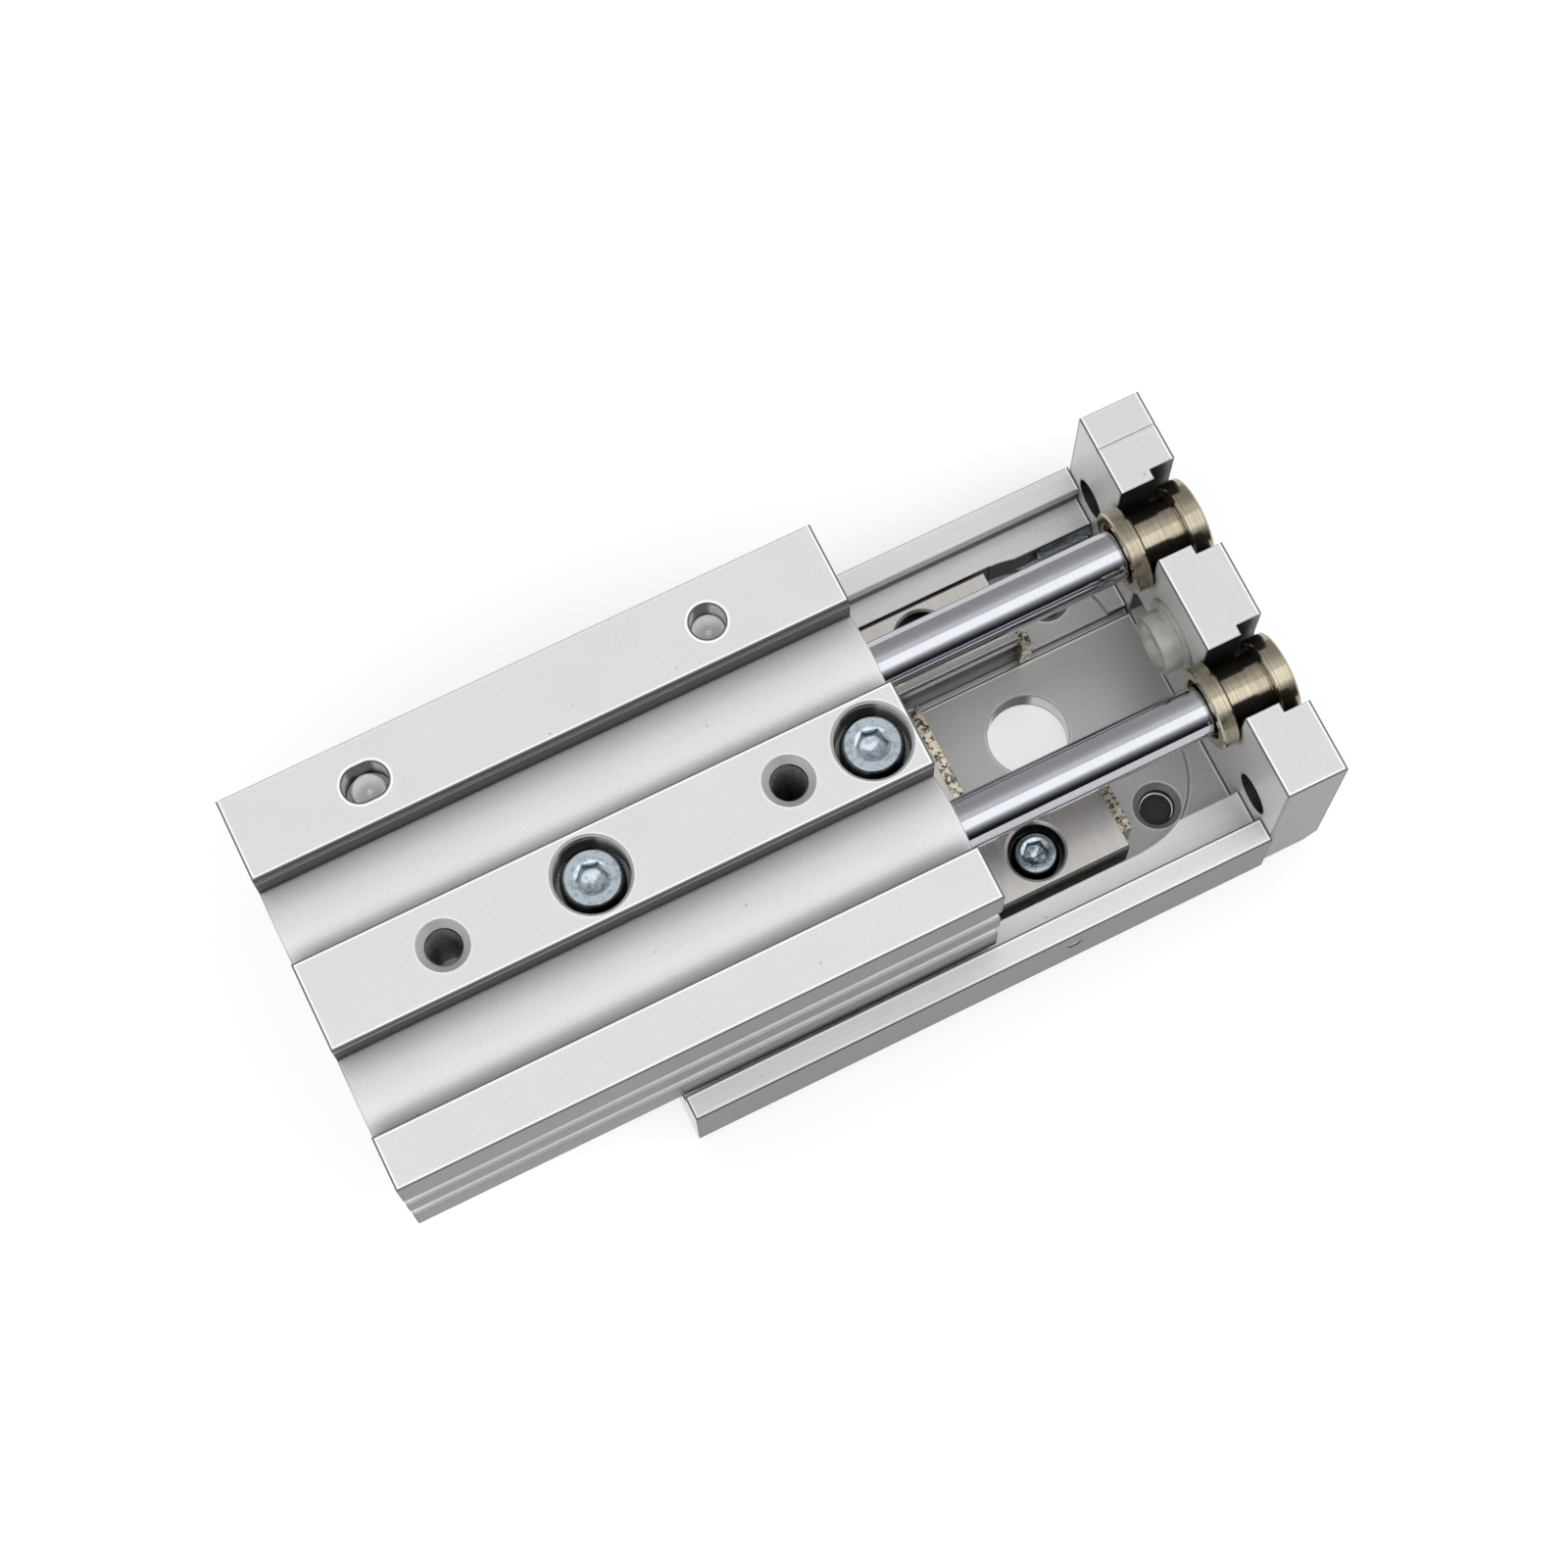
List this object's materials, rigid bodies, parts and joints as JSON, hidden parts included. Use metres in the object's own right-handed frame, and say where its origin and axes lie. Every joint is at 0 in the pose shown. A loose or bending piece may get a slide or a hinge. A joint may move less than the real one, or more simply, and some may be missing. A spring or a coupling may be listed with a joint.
{
  "type": "pneumatic slide table",
  "caption": "Low pneumatic slide: cylinder body on a crossed-roller guided table, whose end plate is drawn by the piston rods.",
  "frame": {"origin": "on the table's work face, on the centre plane, below the rod end of the cylinder body at full extension", "axes": "+X from the cylinder towards the end plate, the way the table extends; +Y to the port side; +Z from the table's work face to the cylinder's mounting face"},
  "size_m": [0.1117, 0.0501, 0.032],
  "materials": {
    "anodised_body": "clear anodised, fine satin",
    "anodised_table": "clear anodised, fine satin",
    "anodised_plate": "clear anodised, fine satin",
    "guide_steel": "ground, lightly brushed",
    "zinc_yellow": "yellow passivated, speckled",
    "zinc_screw": "bright zinc",
    "spring_steel": "dark phosphate",
    "cap_aluminium": "machined",
    "gland_brass": "machined",
    "black_rubber": "matte",
    "magnet": "matte",
    "plug_steel": "zinc",
    "hard_chrome": "ground and polished",
    "tan_nickel": "turned, tan plating",
    "clear_urethane": "translucent, slightly glossy",
    "cage_brass": "satin",
    "roller_steel": "ground"
  },
  "bodies": {
    "cylinder": {"cylinder_body": "anodised_body", "guide_block": "guide_steel", "guide_block_screws": "zinc_screw", "guide_block_stoppers": "zinc_yellow", "head_caps": "cap_aluminium", "head_cap_rings": "spring_steel", "rod_glands": "gland_brass", "rod_seals": "black_rubber", "passage_plug": "plug_steel"},
    "table": {"slide_table": "anodised_table", "end_plate": "anodised_plate", "end_plate_screws": "zinc_screw", "rail_near": "guide_steel", "rail_far": "guide_steel", "rail_screws": "zinc_screw", "rail_stoppers": "zinc_yellow", "piston_rods": "hard_chrome", "floating_bushes": "tan_nickel", "pistons": "cap_aluminium", "piston_seals": "black_rubber", "piston_magnets": "magnet", "end_bumper": "clear_urethane"},
    "cage_near": {"roller_cage_near": "cage_brass", "rollers_near": "roller_steel"},
    "cage_far": {"roller_cage_far": "cage_brass", "rollers_far": "roller_steel"}
  },
  "joints": [
    {"name": "table_slide", "type": "slide", "parent": "cylinder", "child": "table", "axis": [-1, 0, 0], "range_m": [0, 0.03]},
    {"name": "cage_near_slide", "type": "slide", "parent": "cylinder", "child": "cage_near", "axis": [-1, 0, 0], "range_m": [0, 0.015]},
    {"name": "cage_far_slide", "type": "slide", "parent": "cylinder", "child": "cage_far", "axis": [-1, 0, 0], "range_m": [0, 0.015]}
  ],
  "couplings": [
    {"joint": "cage_near_slide", "follows": "table_slide", "ratio": 0.5},
    {"joint": "cage_far_slide", "follows": "table_slide", "ratio": 0.5}
  ]
}
